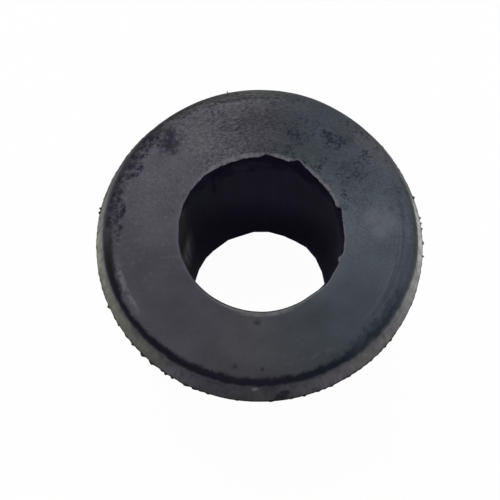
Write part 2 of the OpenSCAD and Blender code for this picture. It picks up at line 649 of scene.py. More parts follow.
# %% Group: place on the ring
def place_group():
    """Point, Radius and Height in mm, Angle in degrees, Way out, and Past the face's edge in mm."""
    inputs = [("Face edge", "Float", 22.4), ("Top", "Float", 34.0)]
    outputs = [("Point", "Vector"), ("Radius", "Float"), ("Height", "Float"), ("Angle", "Float"),
               ("Way", "Vector"), ("Past", "Float")]
    group, source, sink = new_group("Place on the ring", inputs, outputs)
    object_point = add(group, "ShaderNodeTexCoord").outputs["Object"]
    point = vector_of("SCALE", {0: object_point, "Scale": 1 / MM})
    split = add(group, "ShaderNodeSeparateXYZ", {0: point}).outputs
    flat = add(group, "ShaderNodeCombineXYZ", {"X": split["X"], "Y": split["Y"]}).outputs[0]
    radius = add(group, "ShaderNodeVectorMath", {0: flat}, operation="LENGTH").outputs["Value"]
    turn = sum_of("DEGREES", sum_of("ARCTAN2", split["Y"], split["X"]))
    past_edge = minus(radius, source["Face edge"])
    drop = minus(source["Top"], split["Z"])
    results = {"Point": point, "Radius": radius, "Height": split["Z"], "Angle": turn,
               "Way": vector_of("NORMALIZE", {0: flat}), "Past": plus(past_edge, drop)}
    for label, socket in results.items():
        group.links.new(socket, sink[label])
    return group


place_on_ring = place_group()

# %% [markdown]
# ## A stretch of the ring, and a band across it
#
# Two masks bound most effects. The first is 1 along a stretch of the circle and
# fades out at both ends. The second is 1 between two values of any measure. Each
# could be a painted mask, but numbers with names can be read and changed.


# %% Groups: stretch and band
def stretch_group():
    """1 within Half degrees of Middle, fading over Soft degrees."""
    inputs = [("Angle", "Float", 0.0), ("Middle", "Float", 0.0), ("Half", "Float", 20.0),
              ("Soft", "Float", 8.0)]
    group, source, sink = new_group("Stretch of the ring", inputs, [("Mask", "Float")])
    off = minus(source["Angle"], source["Middle"])
    wrapped = add(group, "ShaderNodeMath", {0: off, 1: 180.0, 2: -180.0}, operation="WRAP").outputs[0]
    distance = sum_of("ABSOLUTE", wrapped)
    start = minus(source["Half"], source["Soft"])
    end = plus(source["Half"], source["Soft"])
    group.links.new(inverse(rise(distance, start, end)), sink["Mask"])
    return group


def band_group():
    """1 where Value lies between From and To, fading over Soft."""
    inputs = [("Value", "Float", 0.0), ("From", "Float", 0.0), ("To", "Float", 1.0), ("Soft", "Float", 0.2)]
    group, source, sink = new_group("Band", inputs, [("Mask", "Float")])
    edges = []
    for end in ("From", "To"):
        start = minus(source[end], source["Soft"])
        full = plus(source[end], source["Soft"])
        edges.append(rise(source["Value"], start, full))
    group.links.new(minus(*edges), sink["Mask"])
    return group


stretch_of_ring = stretch_group()
band_across = band_group()


def along(place, stretch):
    """1 along a stretch of the ring, given by its middle, half its width and its fade in degrees."""
    middle, half, soft = stretch
    sockets = {"Angle": place["Angle"], "Middle": middle, "Half": half, "Soft": soft}
    return use(stretch_of_ring, sockets)["Mask"]


def band(value, start, end, soft):
    """1 where the value lies between start and end."""
    return use(band_across, {"Value": value, "From": start, "To": end, "Soft": soft})["Mask"]


# %% [markdown]
# ## Blotches, mottling, grain and streaks
#
# Stains come in blotches: a noise cut off at a threshold, so that it has islands
# with soft shores. Where grime and bloom mix, the islands are cloudy and broken up
# by specks, which takes a coarse and a fine noise together. The moulded skin has
# a fine grain, which is a tone and a height from the same noise, so that what
# looks dark is also low. Where the face was wiped or brushed round, the noise is
# stretched along the circle into streaks.


# %% Noise, and a group for blotches
def noise_of(vector, size, detail=2.0, rough=0.5):
    """A noise whose features are about size across, with its value from 0 to 1."""
    tree = tree_of(vector)
    scale = add(tree, "ShaderNodeMath", {0: 1.0, 1: size}, operation="DIVIDE").outputs[0]
    sockets = {"Vector": vector, "Scale": scale, "Detail": detail, "Roughness": rough}
    return add(tree, "ShaderNodeTexNoise", sockets).outputs[0]


def sway(vector, size, detail=2.0, rough=0.5):
    """The same noise, swinging round 0."""
    return minus(noise_of(vector, size, detail, rough), 0.5)


def blotches_group():
    """Islands of about Size mm, which start at the noise level Shore and are full at Shore + Soft."""
    inputs = [("Point", "Vector", None), ("Size", "Float", 1.0), ("Shore", "Float", 0.5),
              ("Soft", "Float", 0.1)]
    group, source, sink = new_group("Blotches", inputs, [("Mask", "Float")])
    level = noise_of(source["Point"], source["Size"], detail=3.0, rough=0.6)
    full = plus(source["Shore"], source["Soft"])
    group.links.new(rise(level, source["Shore"], full), sink["Mask"])
    return group


blotches = blotches_group()


def blotch(point, size, shore, soft):
    """Blotches of about size mm."""
    return use(blotches, {"Point": point, "Size": size, "Shore": shore, "Soft": soft})["Mask"]


# %% Group: mottling, and the crumbly kind
speck_size = 0.2
patch_share = 0.6
bare_level = 0.57
cover_reach = 0.16
mottle_shore = 0.09


def mottle_group():
    """Cloudy mottling: soft patches of about Size mm, broken up by specks a fifth as large."""
    inputs = [("Point", "Vector", None), ("Size", "Float", 2.0), ("Cover", "Float", 0.5)]
    group, source, sink = new_group("Mottling", inputs, [("Mask", "Float")])
    patch = noise_of(source["Point"], source["Size"], detail=5.0, rough=0.72)
    speck = noise_of(source["Point"], both(source["Size"], speck_size), detail=4.0, rough=0.7)
    level = plus(both(patch, patch_share), both(speck, 1 - patch_share))
    start = minus(bare_level, both(source["Cover"], cover_reach))
    group.links.new(rise(level, start, plus(start, mottle_shore)), sink["Mask"])
    return group


mottling = mottle_group()


def crumbly(place, size, cover, crumb):
    """Mottling of about size mm that is itself broken up by crumbs of about crumb mm."""
    patch = use(mottling, {"Point": place["Point"], "Size": size, "Cover": cover})["Mask"]
    crumbs = rise(noise_of(place["Point"], crumb, detail=4.0, rough=0.72), 0.41, 0.57)
    return both(patch, plus(0.20, both(crumbs, 0.80)))


# %% Groups: grain and streaks
def grain_group():
    """Tone round 0 and a Height from 0 to 1, of a grain of Size mm."""
    inputs = [("Point", "Vector", None), ("Size", "Float", 0.3)]
    group, source, sink = new_group("Grain", inputs, [("Tone", "Float"), ("Height", "Float")])
    level = noise_of(source["Point"], source["Size"], detail=3.0, rough=0.65)
    group.links.new(minus(level, 0.5), sink["Tone"])
    group.links.new(level, sink["Height"])
    return group


def streaks_group():
    """Tone round 0 of streaks Width mm wide that run Runs to the full turn."""
    inputs = [("Radius", "Float", 0.0), ("Way", "Vector", None), ("Width", "Float", 0.3),
              ("Runs", "Float", 12.0)]
    group, source, sink = new_group("Streaks round the ring", inputs, [("Tone", "Float")])
    run = vector_of("SCALE", {0: source["Way"], "Scale": source["Runs"]})
    across = sum_of("DIVIDE", source["Radius"], source["Width"])
    lift = add(group, "ShaderNodeCombineXYZ", {"Z": across}).outputs[0]
    vector = vector_of("ADD", {0: run, 1: lift})
    group.links.new(sway(vector, 1.0), sink["Tone"])
    return group


grain = grain_group()
streaks = streaks_group()


def streaks_of(place, width, runs):
    """Streaks width mm wide that run round the ring."""
    sockets = {"Radius": place["Radius"], "Way": place["Way"], "Width": width, "Runs": runs}
    return use(streaks, sockets)["Tone"]


# %% [markdown]
# ## Ragged spots
#
# A few marks sit at one place each: a smudge, a dark dab on the rim, a paler
# patch. Each is a ragged spot, which is the distance from its middle with noise
# added, cut off softly. That keeps a mark at its place when the noise changes.


# %% Group: ragged spot
def spot_group():
    """1 within about Reach mm of Middle, with a ragged shore."""
    inputs = [("Point", "Vector", None), ("Middle", "Vector", None), ("Reach", "Float", 1.0),
              ("Ragged", "Float", 3.5)]
    group, source, sink = new_group("Ragged spot", inputs, [("Mask", "Float")])
    ends = {0: source["Point"], 1: source["Middle"]}
    apart = add(group, "ShaderNodeVectorMath", ends, operation="DISTANCE").outputs["Value"]
    ragged = both(sway(source["Point"], 0.7, detail=5.0, rough=0.75), source["Ragged"])
    distance = plus(sum_of("DIVIDE", apart, source["Reach"]), ragged)
    group.links.new(inverse(rise(distance, 0.2, 1.2)), sink["Mask"])
    return group


ragged_spot = spot_group()


def spots(place, marks, ragged=3.5):
    """Ragged spots, each given by its radius, direction, depth below the top and reach."""
    masks = []
    for radius, angle, depth, reach in marks:
        middle = tuple(on_ring(radius, angle, depth) / MM)
        sockets = {"Point": place["Point"], "Middle": middle, "Reach": reach, "Ragged": ragged}
        masks.append(use(ragged_spot, sockets)["Mask"])
    return either(*masks)


print("node groups:", sorted(group.name for group in bpy.data.node_groups))

# %% [markdown]
# ## Colours round the ring
#
# The bloom isn't one grey: round the ring it is lighter and warmer on one side
# and darker and bluer on the other. On the side the ramp also carries painted
# reflections: the pale strips on the right and on the left are painted
# reflections of the bright floor and surroundings. A colour ramp bent round the
# ring carries that in one node. Each stop is a direction, a tint and a tone, so the
# lightness can be read and changed apart from the hue.

# %% Tints, and a ramp bent round the ring
warm = (1.05, 1.00, 1.22)
plain = (1.00, 1.00, 1.15)
cool = (0.84, 1.00, 1.21)
olive = (1.00, 1.02, 0.88)
pale = (1.00, 1.00, 0.97)
pink = (1.06, 1.00, 1.06)


def toned(tint, tone):
    """The colour of this tint at this tone."""
    return tuple(channel * tone for channel in tint) + (1,)


def colours_round(angle, stops):
    """The colour at an angle, from stops of direction, tint and tone, in rising order from 0."""
    tree = tree_of(angle)
    share = sum_of("DIVIDE", angle, 360.0)
    turn = add(tree, "ShaderNodeMath", {0: share, 1: 1.0, 2: 0.0}, operation="WRAP").outputs[0]
    ramp = add(tree, "ShaderNodeValToRGB", {0: turn})
    elements = ramp.color_ramp.elements
    elements[0].color = toned(*stops[0][1:])
    elements[1].color = toned(*stops[0][1:])
    for direction, tint, tone in stops[1:]:
        elements.new(direction / 360).color = toned(tint, tone)
    return ramp.outputs[0]


# %% The bloom's tones on the face, at its edge, and on the side, where they hold painted reflections
face_tones = [
    (0, cool, 0.090), (14, cool, 0.084), (30, cool, 0.068), (62, cool, 0.054), (90, warm, 0.047),
    (118, warm, 0.076), (150, warm, 0.084), (172, warm, 0.074), (198, warm, 0.054), (242, warm, 0.051),
    (268, plain, 0.053), (300, cool, 0.048), (330, cool, 0.064),
]
edge_tones = [
    (0, cool, 0.072), (16, cool, 0.072), (36, plain, 0.072), (62, cool, 0.050), (90, plain, 0.086),
    (120, warm, 0.086), (150, warm, 0.080), (185, warm, 0.062), (210, warm, 0.062), (240, warm, 0.052),
    (270, plain, 0.041), (300, cool, 0.046), (330, cool, 0.064),
]
# On the side, the pale stops on the right (344 to 7 degrees) and on the left (164 to 216 degrees) are
# painted reflections of the bright surroundings.
side_tones_and_reflections = [
    (0, pale, 0.500), (7, pale, 0.340), (15, pink, 0.120), (30, pink, 0.066), (60, olive, 0.040),
    (90, olive, 0.022), (120, olive, 0.018), (148, olive, 0.012), (164, olive, 0.130), (182, olive, 0.240),
    (200, olive, 0.190), (216, olive, 0.120), (229, olive, 0.093), (238, plain, 0.076), (252, plain, 0.048),
    (270, plain, 0.043), (284, plain, 0.056), (298, pink, 0.094), (312, pale, 0.107), (328, pale, 0.138),
    (344, pale, 0.300),
]
print("stops round the ring:", len(face_tones), len(edge_tones), len(side_tones_and_reflections))

# %% [markdown]
# ## Rubber with bloom
#
# New rubber is black. With time, wax and sulphur come to its surface as a grey
# bloom, which handling rubs off again. So the finish is a stack: black rubber
# below, a grey film on top, stains in the film, and a mask that says where the
# film is gone and where shade is painted along the shoulder. Roughness follows
# the same mask, because rubbed rubber is smoother than bloom. Painting the stack
# as one picture would be quicker, but then no layer could be changed by itself.
# Each cell below makes one layer. Its stretches of the ring have names and stand
# first, as a middle, half a width and a fade in degrees, and so do its spots, as
# a radius, a direction, a depth below the top and a reach.

# %% The film's colour
blushing_side = (280, 60, 20)
late_side = (5, 24, 8)
olive_rim = (112, 36, 14)
shaded_far_rim = (128, 22, 10)
shaded_right_rim = (20, 34, 10)
edge_from, edge_full = 19.2, 22.0
side_from, side_full = 1.9, 3.3
blush_shade = (0.96, 0.90, 1.10, 1)
upper_side_painted_shade = (0.78, 0.76, 0.82, 1)
olive_shade = (0.75, 0.77, 0.66, 1)
far_rim_painted_shade = (0.60, 0.60, 0.58, 1)
right_rim_painted_shade = (0.52, 0.49, 0.42, 1)


def film_colour(place):
    """The bloom's colour on the face, at its edge, on the side with its painted reflections, and on the rim
    with painted shade.
    """
    past = place["Past"]
    tones = (face_tones, edge_tones, side_tones_and_reflections)
    face, edge, side = [colours_round(place["Angle"], stops) for stops in tones]
    blush = rise(noise_of(place["Point"], 2.6, detail=4.0), 0.44, 0.60)
    # The side's upper part is darkened here: painted shade above the painted reflection lower down.
    side = laid_over(side, [
        (blush_shade, blush, along(place, blushing_side), 0.8),
        (upper_side_painted_shade, inverse(rise(past, 2.4, 5.0)), 0.8),
    ], "MULTIPLY")
    down = minus(past, both(along(place, late_side), 0.95))
    colour = laid_over(face, [
        (edge, rise(place["Radius"], edge_from, edge_full)),
        (side, rise(down, side_from, side_full)),
    ])
    # On the rim the olive tint is the film's own; the dimmer far-left rim and the dusky band along the
    # right shoulder are painted shade.
    return laid_over(colour, [
        (olive_shade, rise(past, -1.0, 0.2), along(place, olive_rim)),
        (far_rim_painted_shade, band(past, 0.9, 2.9, 0.4), along(place, shaded_far_rim)),
        (right_rim_painted_shade, rise(past, 0.2, 2.2), rise(past, 3.7, 2.9), along(place, shaded_right_rim)),
    ], "MULTIPLY")


# %% [markdown]
# ### Grain of the film
#
# The bloom is finely speckled, more so on the far side than near the viewer. At
# the far left it was brushed, which left short strokes, and at the right it was
# wiped round, which left long rings. On the side it is patchy and runs down a
# little. All of this changes only how light the film is, so it is one number that
# scales its colour.

# %% How light the film is
calm_stretch = (258, 88, 26)
brushed_stretch = (104, 24, 12)
wiped_stretch = (345, 26, 14)
calmed = 0.72
speckle_depth = 1.1
cloud_depth = 0.6
patch_depth = 2.0
stroke_depth = 3.3
ring_depth = 1.25


def film_gain(place):
    """How much lighter or darker the film is here: speckle, clouds, patches, strokes and rings."""
    point = place["Point"]
    skin = use(grain, {"Point": point, "Size": 0.40})["Tone"]
    fine = use(grain, {"Point": point, "Size": 0.16})["Tone"]
    lively = inverse(both(along(place, calm_stretch), calmed))
    speckle = both(plus(skin, both(fine, 0.9)), lively, speckle_depth)
    cloud = both(sway(point, 4.0, detail=3.0), cloud_depth)
    upright = vector_of("MULTIPLY", {0: point, 1: (1, 1, 0.25)})
    patchy = sway(upright, 1.1, detail=5.0, rough=0.65)
    patchy = both(patchy, rise(place["Past"], 0.8, 2.2), patch_depth)
    strokes = streaks_of(place, 0.20, 32.0)
    strokes = both(strokes, along(place, brushed_stretch), stroke_depth)
    rings = both(streaks_of(place, 0.60, 1.6), along(place, wiped_stretch))
    rings = both(rings, rise(place["Radius"], 18.5, 21.0), ring_depth)
    return plus(speckle, cloud, patchy, strokes, rings, 1.0)


# %% [markdown]
# ### Pale patches and dust
#
# Where the film is thicker it is paler: in a cloud on the right, in a straw
# coloured one at the far side, and thinly along the bore's right edge. Dust sits
# on the left, and a broken light line runs inside the rubbed shoulder where it
# was pushed together.

# %% Lay the pale patches over the film
cool_light = (0.1250, 0.1330, 0.1500, 1)
straw_light = (0.1350, 0.1340, 0.1250, 1)
fleck_light = (0.1150, 0.1110, 0.1350, 1)
cool_patch = [(19.0, 3.0, 0, 2.4), (17.2, 6.0, 0, 1.8), (18.0, 359.0, 0, 1.6)]
straw_patch = [
    (18.2, 119.0, 0, 2.6), (16.4, 124.0, 0, 2.0), (20.4, 115.0, 0, 1.6),
    (20.3, 100.0, 0, 2.2), (20.4, 89.0, 0, 1.9),
]
inmost_stretch = (0, 62, 18)
dusty_stretch = (150, 55, 15)
left_dashes = (203, 10, 4)
near_dashes = (290, 9, 4)


def with_pale_patches(place, colour):
    """The film with its pale patches, its dust and its light dashes."""
    dust = blotch(place["Point"], 0.70, 0.56, 0.12)
    dash = blotch(place["Point"], 1.6, 0.43, 0.14)
    left = both(dash, band(place["Past"], -0.80, -0.05, 0.16), along(place, left_dashes))
    near = both(dash, band(place["Past"], -1.6, -1.1, 0.2), along(place, near_dashes))
    return laid_over(colour, [
        (cool_light, spots(place, cool_patch, 1.6), 0.60),
        (cool_light, rise(place["Radius"], 15.5, 13.0), along(place, inmost_stretch), 0.20),
        (straw_light, spots(place, straw_patch, 2.6), 0.24),
        (fleck_light, dust, along(place, dusty_stretch), 0.40),
        (fleck_light, either(left, both(near, 0.18))),
    ])


# %% [markdown]
# ### Stains
#
# On the right small dark flakes flock together. At the far left a crust of grime
# creeps in from the edge: it is thick at the edge, crumbles inwards, and has light
# flecks in it. Both are mottling broken up by crumbs, with a cover that changes
# from place to place, since one threshold would give the same density everywhere.
# A few thin dark lines and dots are grime too.

# %% Dark flakes on the right
flaked_stretch = (49, 33, 10)
blue_dabs = [
    (16.8, 38, 0, 1.3), (20.2, 45.5, 0, 1.0), (13.5, 14.3, 0, 0.5), (20.1, 8.7, 0, 0.5),
    (15.2, 29.0, 0, 0.9), (18.0, 30.0, 0, 0.9), (18.6, 54.0, 0, 0.9),
]


def blue_stain(place):
    """Small dark flakes that flock together on the right of the face."""
    flock = sway(place["Point"], 3.4)
    cover = plus(0.32, both(flock, 2.8))
    flakes = crumbly(place, 1.5, cover, 0.60)
    pepper = blotch(place["Point"], 0.60, 0.53, 0.08)
    pepper = both(pepper, rise(flock, -0.08, 0.06), 0.25)
    flaked = both(plus(both(flakes, 0.95), pepper), along(place, flaked_stretch))
    dabs = both(spots(place, blue_dabs), plus(0.28, both(flakes, 0.50)))
    on_face = inverse(rise(place["Past"], 0.0, 0.9))
    return both(either(flaked, dabs), on_face)


# %% The crust of grime on the left, and its light flecks
crusted_stretch = (154, 26, 8)
flecked_stretch = (143, 44, 8)
crust_dabs = [(19.8, 133.0, 0, 2.0), (20.9, 130.0, 0, 1.3)]
crust_radius = 21.3
fleck_shift = (7, 3, 5)


def dark_crust(place):
    """The crumbly crust that creeps in from the far left edge."""
    wander = both(sway(place["Point"], 4.5, detail=1.0), 4.0)
    inwards = plus(minus(place["Radius"], crust_radius), wander)
    cover = both(rise(inwards, -1.3, 0.5), 1.35)
    cover = minus(cover, both(rise(place["Past"], 0.4, 1.2), 0.20))
    cover = minus(cover, both(inverse(along(place, crusted_stretch)), 1.6))
    crust = crumbly(place, 2.2, cover, 0.80)
    crust = either(crust, both(spots(place, crust_dabs), 0.95))
    return both(crust, inverse(rise(place["Past"], 0.9, 1.9)))


def light_flecks(place):
    """Light flecks in the crust and beside it."""
    aside = vector_of("ADD", {0: place["Point"], 1: fleck_shift})
    near_edge = band(place["Radius"], 20.6, 23.4, 0.6)
    return both(blotch(aside, 0.60, 0.53, 0.08), near_edge, along(place, flecked_stretch))


# %% Thin dark lines and dots
far_line = (96, 14, 4)
left_line = (186, 14, 6)
grime_dots = [(14.2, 267.7, 0, 0.6), (21.2, 258.8, 0, 0.5), (21.3, 269.6, 0, 0.4)]


def dark_lines(place):
    """Broken lines of grime along the face's edge, and three dots on the near side."""
    broken = blotch(place["Point"], 1.3, 0.40, 0.14)
    far = both(band(place["Past"], -0.55, -0.15, 0.15), broken, along(place, far_line), 0.6)
    left = both(band(place["Past"], 0.0, 0.55, 0.20), broken, along(place, left_line), 0.8)
    dots = both(spots(place, grime_dots), 0.8)
    return either(far, left, dots)


# %% Lay the stains over the film
stain_blue = (0.0130, 0.0190, 0.0270, 1)
stain_olive = (0.0125, 0.0160, 0.0155, 1)
stain_navy = (0.0085, 0.0068, 0.0200, 1)


def with_stains(place, colour, blue, crust):
    """The film with its flakes, its light flecks and its crust, which is thinner in places."""
    hue = rise(noise_of(place["Point"], 1.9, detail=3.0), 0.46, 0.58)
    lumps = rise(noise_of(place["Point"], 1.4, detail=3.0), 0.38, 0.60)
    thick = plus(0.82, both(lumps, 0.16))
    return laid_over(colour, [
        (stain_blue, blue),
        (fleck_light, light_flecks(place), 0.50),
        (mixed(hue, stain_navy, stain_olive), crust, thick),
    ])


# %% [markdown]
# ### Where the film is gone, and the shoulder's painted shade
#
# A black band runs along the shoulder on the near side and fades out towards the
# far side. It is partly bloom that handling rubbed off first and partly painted
# shade on the shoulder that faces the viewer. Its shores are ragged, because
# bloom comes off in crumbs. On the right it melts into the film over a wider band,
# and the rubber that comes through is a little bluer there, and greener at the
# left.

# %% The rubbed shoulder and its painted shade
rubbed_shaded_near = (245, 65, 12)
rubbed_shaded_left = (152, 50, 12)
rubbed_shaded_right = (318, 19, 14)
early_start = (188, 12, 10)
late_start = (211, 8, 9)
melting_right = (316, 18, 12)
bluer_right = (318, 26, 16)
greener_left = (186, 12, 12)
rubbed_shaded_from, rubbed_shaded_to = 0.35, 2.1
bare_black_and_shade = (0.0024, 0.0017, 0.0075, 1)
bare_blue = (0.0024, 0.0068, 0.0125, 1)
bare_green = (0.0048, 0.0052, 0.0058, 1)


def rubbed_and_shaded_mask(place):
    """1 along the shoulder, where handling has taken the bloom off and where shade is painted."""
    on_right = along(place, rubbed_shaded_right)
    ragged = sway(place["Point"], 1.5, detail=5.0, rough=0.70)
    shore = plus(place["Past"], both(ragged, plus(1.9, both(on_right, 2.0))))
    start = minus(rubbed_shaded_from, both(along(place, early_start), 0.30))
    start = plus(start, both(along(place, late_start), 0.35))
    shoulder = band(shore, start, rubbed_shaded_to, 0.45)
    near = both(shoulder, along(place, rubbed_shaded_near))
    left = both(shoulder, along(place, rubbed_shaded_left), 0.50)
    right = both(shoulder, on_right, 0.80)
    wander = both(sway(place["Point"], 1.2, detail=5.0, rough=0.66), 5.0)
    wide = band(plus(place["Past"], wander), -0.3, 1.9, 0.6)
    melting = both(wide, along(place, melting_right), 0.55)
    return either(near, left, right, melting)


def with_bare_rubber_and_shade(place, colour, rubbed_and_shaded):
    """The film with bare black rubber where the bloom is worn off, which also paints the shoulder's shade.
    """
    bare = laid_over(bare_black_and_shade, [
        (bare_blue, along(place, bluer_right)),
        (bare_green, along(place, greener_left)),
    ])
    return mixed(rubbed_and_shaded, colour, bare)


# %% [markdown]
# ### Marks, the seam and the torn lip
#
# On the near side a black spot of painted shade sits in a dent under the shoulder,
# and a light dot of painted highlight sits on a small lump. The seam is darker than
# the side round it, because torn rubber is fresh rubber. At the bore's lip torn
# rubber is lighter: the far tears are pale in places, and the near lip has a
# painted highlight on its bevel, with a thin dark line along its inner edge.

# %% Lay the marks, the seam and the lip over the rest
seam_black = (0.0080, 0.0080, 0.0075, 1)
lump_highlight_grey = (0.1900, 0.1900, 0.2100, 1)
lip_light = (0.1550, 0.1470, 0.1700, 1)
lip_bevel_highlight = (0.1350, 0.1340, 0.1380, 1)
dent_shade_spots = [(24.9, 275.5, 4.6, 1.5), (24.7, 276.3, 3.6, 1.2), (24.3, 277.3, 2.8, 1.0)]
lump_highlight_spot = [(23.7, 267.0, 1.5, 0.6)]
far_lip = (40, 96, 14)
near_lip = (278, 60, 14)
bevel_lip = (285, 48, 14)
shelf_lip = (273, 15, 10)
flange_mm = flange_r / MM
seam_mm = seam_z / MM
bore_mm = bore_r / MM


def with_marks(place, colour):
    """The rubber with painted shade in a dent, a painted highlight on a lump, and its dark seam."""
    fin_edge = rise(place["Radius"], flange_mm - 0.02, flange_mm + 0.10)
    root = band(place["Height"], seam_mm - 0.4, seam_mm + 0.25, 0.15)
    return laid_over(colour, [
        # A black spot of painted shade in the dent, and a light dot of painted highlight on the lump.
        (bare_black_and_shade, rise(spots(place, dent_shade_spots, 1.2), 0.0, 0.85), 0.9),
        (lump_highlight_grey, spots(place, lump_highlight_spot, 1.5)),
        (seam_black, either(root, fin_edge), 0.85),
    ])


def with_torn_lip(place, colour):
    """The rubber with its pale tears, the painted highlight on its bevel and the dark line inside that."""
    strip = add(tree_of(colour), "ShaderNodeAttribute", attribute_name="lip_strip").outputs["Fac"]
    broken = rise(noise_of(place["Point"], 0.8, detail=4.0, rough=0.65), 0.34, 0.62)
    torn = plus(0.15, both(along(place, far_lip), broken, 0.75))
    shelf = band(place["Radius"], bore_mm + 0.12, bore_mm + 0.86, 0.14)
    shelf = both(shelf, along(place, shelf_lip), 0.95)
    bevel = both(rise(strip, 0.4, 1.0), along(place, bevel_lip))
    return laid_over(colour, [
        (lip_light, rise(strip, 0.1, 0.9), torn),
        # The near lip's bevel is painted lighter: a painted highlight.
        (lip_bevel_highlight, either(shelf, bevel), plus(0.45, both(broken, 0.5))),
        (bare_black_and_shade, rise(strip, 1.40, 1.70), along(place, near_lip), 0.95),
    ])


# %% [markdown]
# ### The outside's material
#
# The layers are stacked in the order in which they came to be. The same masks
# also feed the roughness, where rubbed rubber is smoother, and a shallow bump, in
# which stains lie lower than the film.

# %% Stack the layers
film_roughness = 0.70
rubbed_smoother = -0.18
grain_roughness = 0.12
stain_sink = -0.7
film_shine = 0.09
skin_depth = 0.05 * MM


def new_rubber(name):
    """A new material, its nodes, its shader, and the place on the ring."""
    material = bpy.data.materials.new(name)
    material.use_nodes = True
    tree = material.node_tree
    sizes = {"Face edge": face_edge_r / MM, "Top": total_h / MM}
    place = add(tree, "ShaderNodeGroup", sizes, node_tree=place_on_ring).outputs
    return material, tree, tree.nodes["Principled BSDF"], place


def outside_rubber():
    """Black rubber with its grey bloom, for everything but the bore."""
    material, tree, shader, place = new_rubber("bloomed_rubber")
    blue = blue_stain(place)
    crust = either(dark_crust(place), dark_lines(place))
    # The black band along the shoulder: partly bloom worn off, partly painted shade.
    rubbed_and_shaded = rubbed_and_shaded_mask(place)
    colour = vector_of("SCALE", {0: film_colour(place), "Scale": film_gain(place)})
    colour = with_pale_patches(place, colour)
    colour = with_stains(place, colour, blue, crust)
    colour = with_bare_rubber_and_shade(place, colour, rubbed_and_shaded)
    colour = with_marks(place, colour)
    colour = with_torn_lip(place, colour)
    tree.links.new(colour, shader.inputs["Base Color"])

    skin = use(grain, {"Point": place["Point"], "Size": 0.35})
    dull = plus(film_roughness, both(rubbed_and_shaded, rubbed_smoother))
    dull = plus(dull, both(skin["Tone"], grain_roughness))
    tree.links.new(dull, shader.inputs["Roughness"])
    shader.inputs["Specular IOR Level"].default_value = film_shine

    relief = plus(skin["Height"], both(plus(blue, crust), stain_sink))
    bump = add(tree, "ShaderNodeBump", {"Height": relief, "Strength": 0.35, "Distance": skin_depth})
    tree.links.new(bump.outputs["Normal"], shader.inputs["Normal"])
    return material


# %% [markdown]
# ## The bore
#
# The core pin of the mould leaves the bore plain and black, with faint draw marks
# along the axis. The black is bluer where the bore narrows, and darker near the
# top than deeper down. The left wall is painted lighter as a painted reflection,
# a painted highlight lies low on the left, and a cloudy painted shadow of the torn
# lip lies under it. It is very matt, and deep in the hole it gets little light, so
# it needs its own material with a weak, broad reflection instead of a mask in the
# first one.

# %% The bore's tones
narrow_black = (0.0520, 0.0450, 0.0860, 1)
deep_black = (0.0520, 0.0480, 0.0800, 1)
upper_black = (0.0390, 0.0365, 0.0600, 1)
left_reflection_black = (0.0860, 0.0810, 0.0970, 1)
teal_black = (0.0290, 0.0350, 0.0510, 1)
navy_and_lip_shadow_black = (0.0090, 0.0070, 0.0200, 1)
low_left_highlight_grey = (0.640, 0.620, 0.680, 1)
reflecting_left_wall = (166, 12, 9)
teal_wall = (146, 9, 7)
navy_line = (124, 1.6, 1.5)
highlighted_left_wall = (165, 10, 6)
cloud_height = 12.0
top_mm = total_h / MM
taper_mm = bore_taper_z / MM


def wall_colour(place):
    """The bore's blacks: the narrow part, the deep and the upper wall, a painted reflection on the left
    wall, and a painted shadow under the lip.
    """
    height = place["Height"]
    cloudy = both(sway(place["Point"], 3.5, detail=4.0, rough=0.55), cloud_height)
    level = plus(height, cloudy)
    patchy = both(sway(place["Point"], 3.2, detail=4.0, rough=0.6), cloud_height)
    lip_shadow_level = plus(height, patchy)
    wall = mixed(rise(height, top_mm - 18, top_mm - 6), deep_black, upper_black)
    high = rise(level, top_mm - 13, top_mm - 9)
    return laid_over(narrow_black, [
        (wall, rise(level, taper_mm - 1.5, taper_mm + 1.8)),
        # The left wall is painted lighter: a painted reflection.
        (left_reflection_black, along(place, reflecting_left_wall)),
        (teal_black, high, along(place, teal_wall), 0.6),
        (navy_and_lip_shadow_black, high, along(place, navy_line), 0.7),
        # A cloudy painted shadow of the torn lip, just under the lip.
        (navy_and_lip_shadow_black, rise(lip_shadow_level, top_mm - 7.0, top_mm - 2.4), 0.92),
    ])


# %% The bore's material
def bore_rubber():
    """Matt black rubber with draw marks along the axis and a painted highlight low on the left."""
    material, tree, shader, place = new_rubber("bore_rubber")
    squeeze = vector_of("MULTIPLY", {0: place["Point"], 1: (1, 1, 0.10)})
    draw = noise_of(squeeze, 1.6, detail=3.0)
    gain = plus(1.0, both(minus(draw, 0.5), 0.35))
    colour = vector_of("SCALE", {0: wall_colour(place), "Scale": gain})
    # A painted highlight low on the left wall, broken up by the draw marks.
    low_part = band(place["Height"], 9.5, 17, 3)
    draw_streaked = plus(0.45, both(rise(draw, 0.38, 0.55), 0.55))
    low_left_highlight = both(along(place, highlighted_left_wall), low_part, draw_streaked, 0.90)
    colour = mixed(low_left_highlight, colour, low_left_highlight_grey)
    tree.links.new(colour, shader.inputs["Base Color"])
    shader.inputs["Roughness"].default_value = 0.9
    shader.inputs["Specular IOR Level"].default_value = 0.03
    bump = add(tree, "ShaderNodeBump", {"Height": draw, "Strength": 0.3, "Distance": skin_depth})
    tree.links.new(bump.outputs["Normal"], shader.inputs["Normal"])
    return material


mesh.materials.append(outside_rubber())
mesh.materials.append(bore_rubber())
print("materials:", [material.name for material in mesh.materials])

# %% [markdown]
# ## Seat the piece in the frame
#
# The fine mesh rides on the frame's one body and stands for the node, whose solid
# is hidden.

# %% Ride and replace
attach(grommet, "root")
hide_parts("grommet")

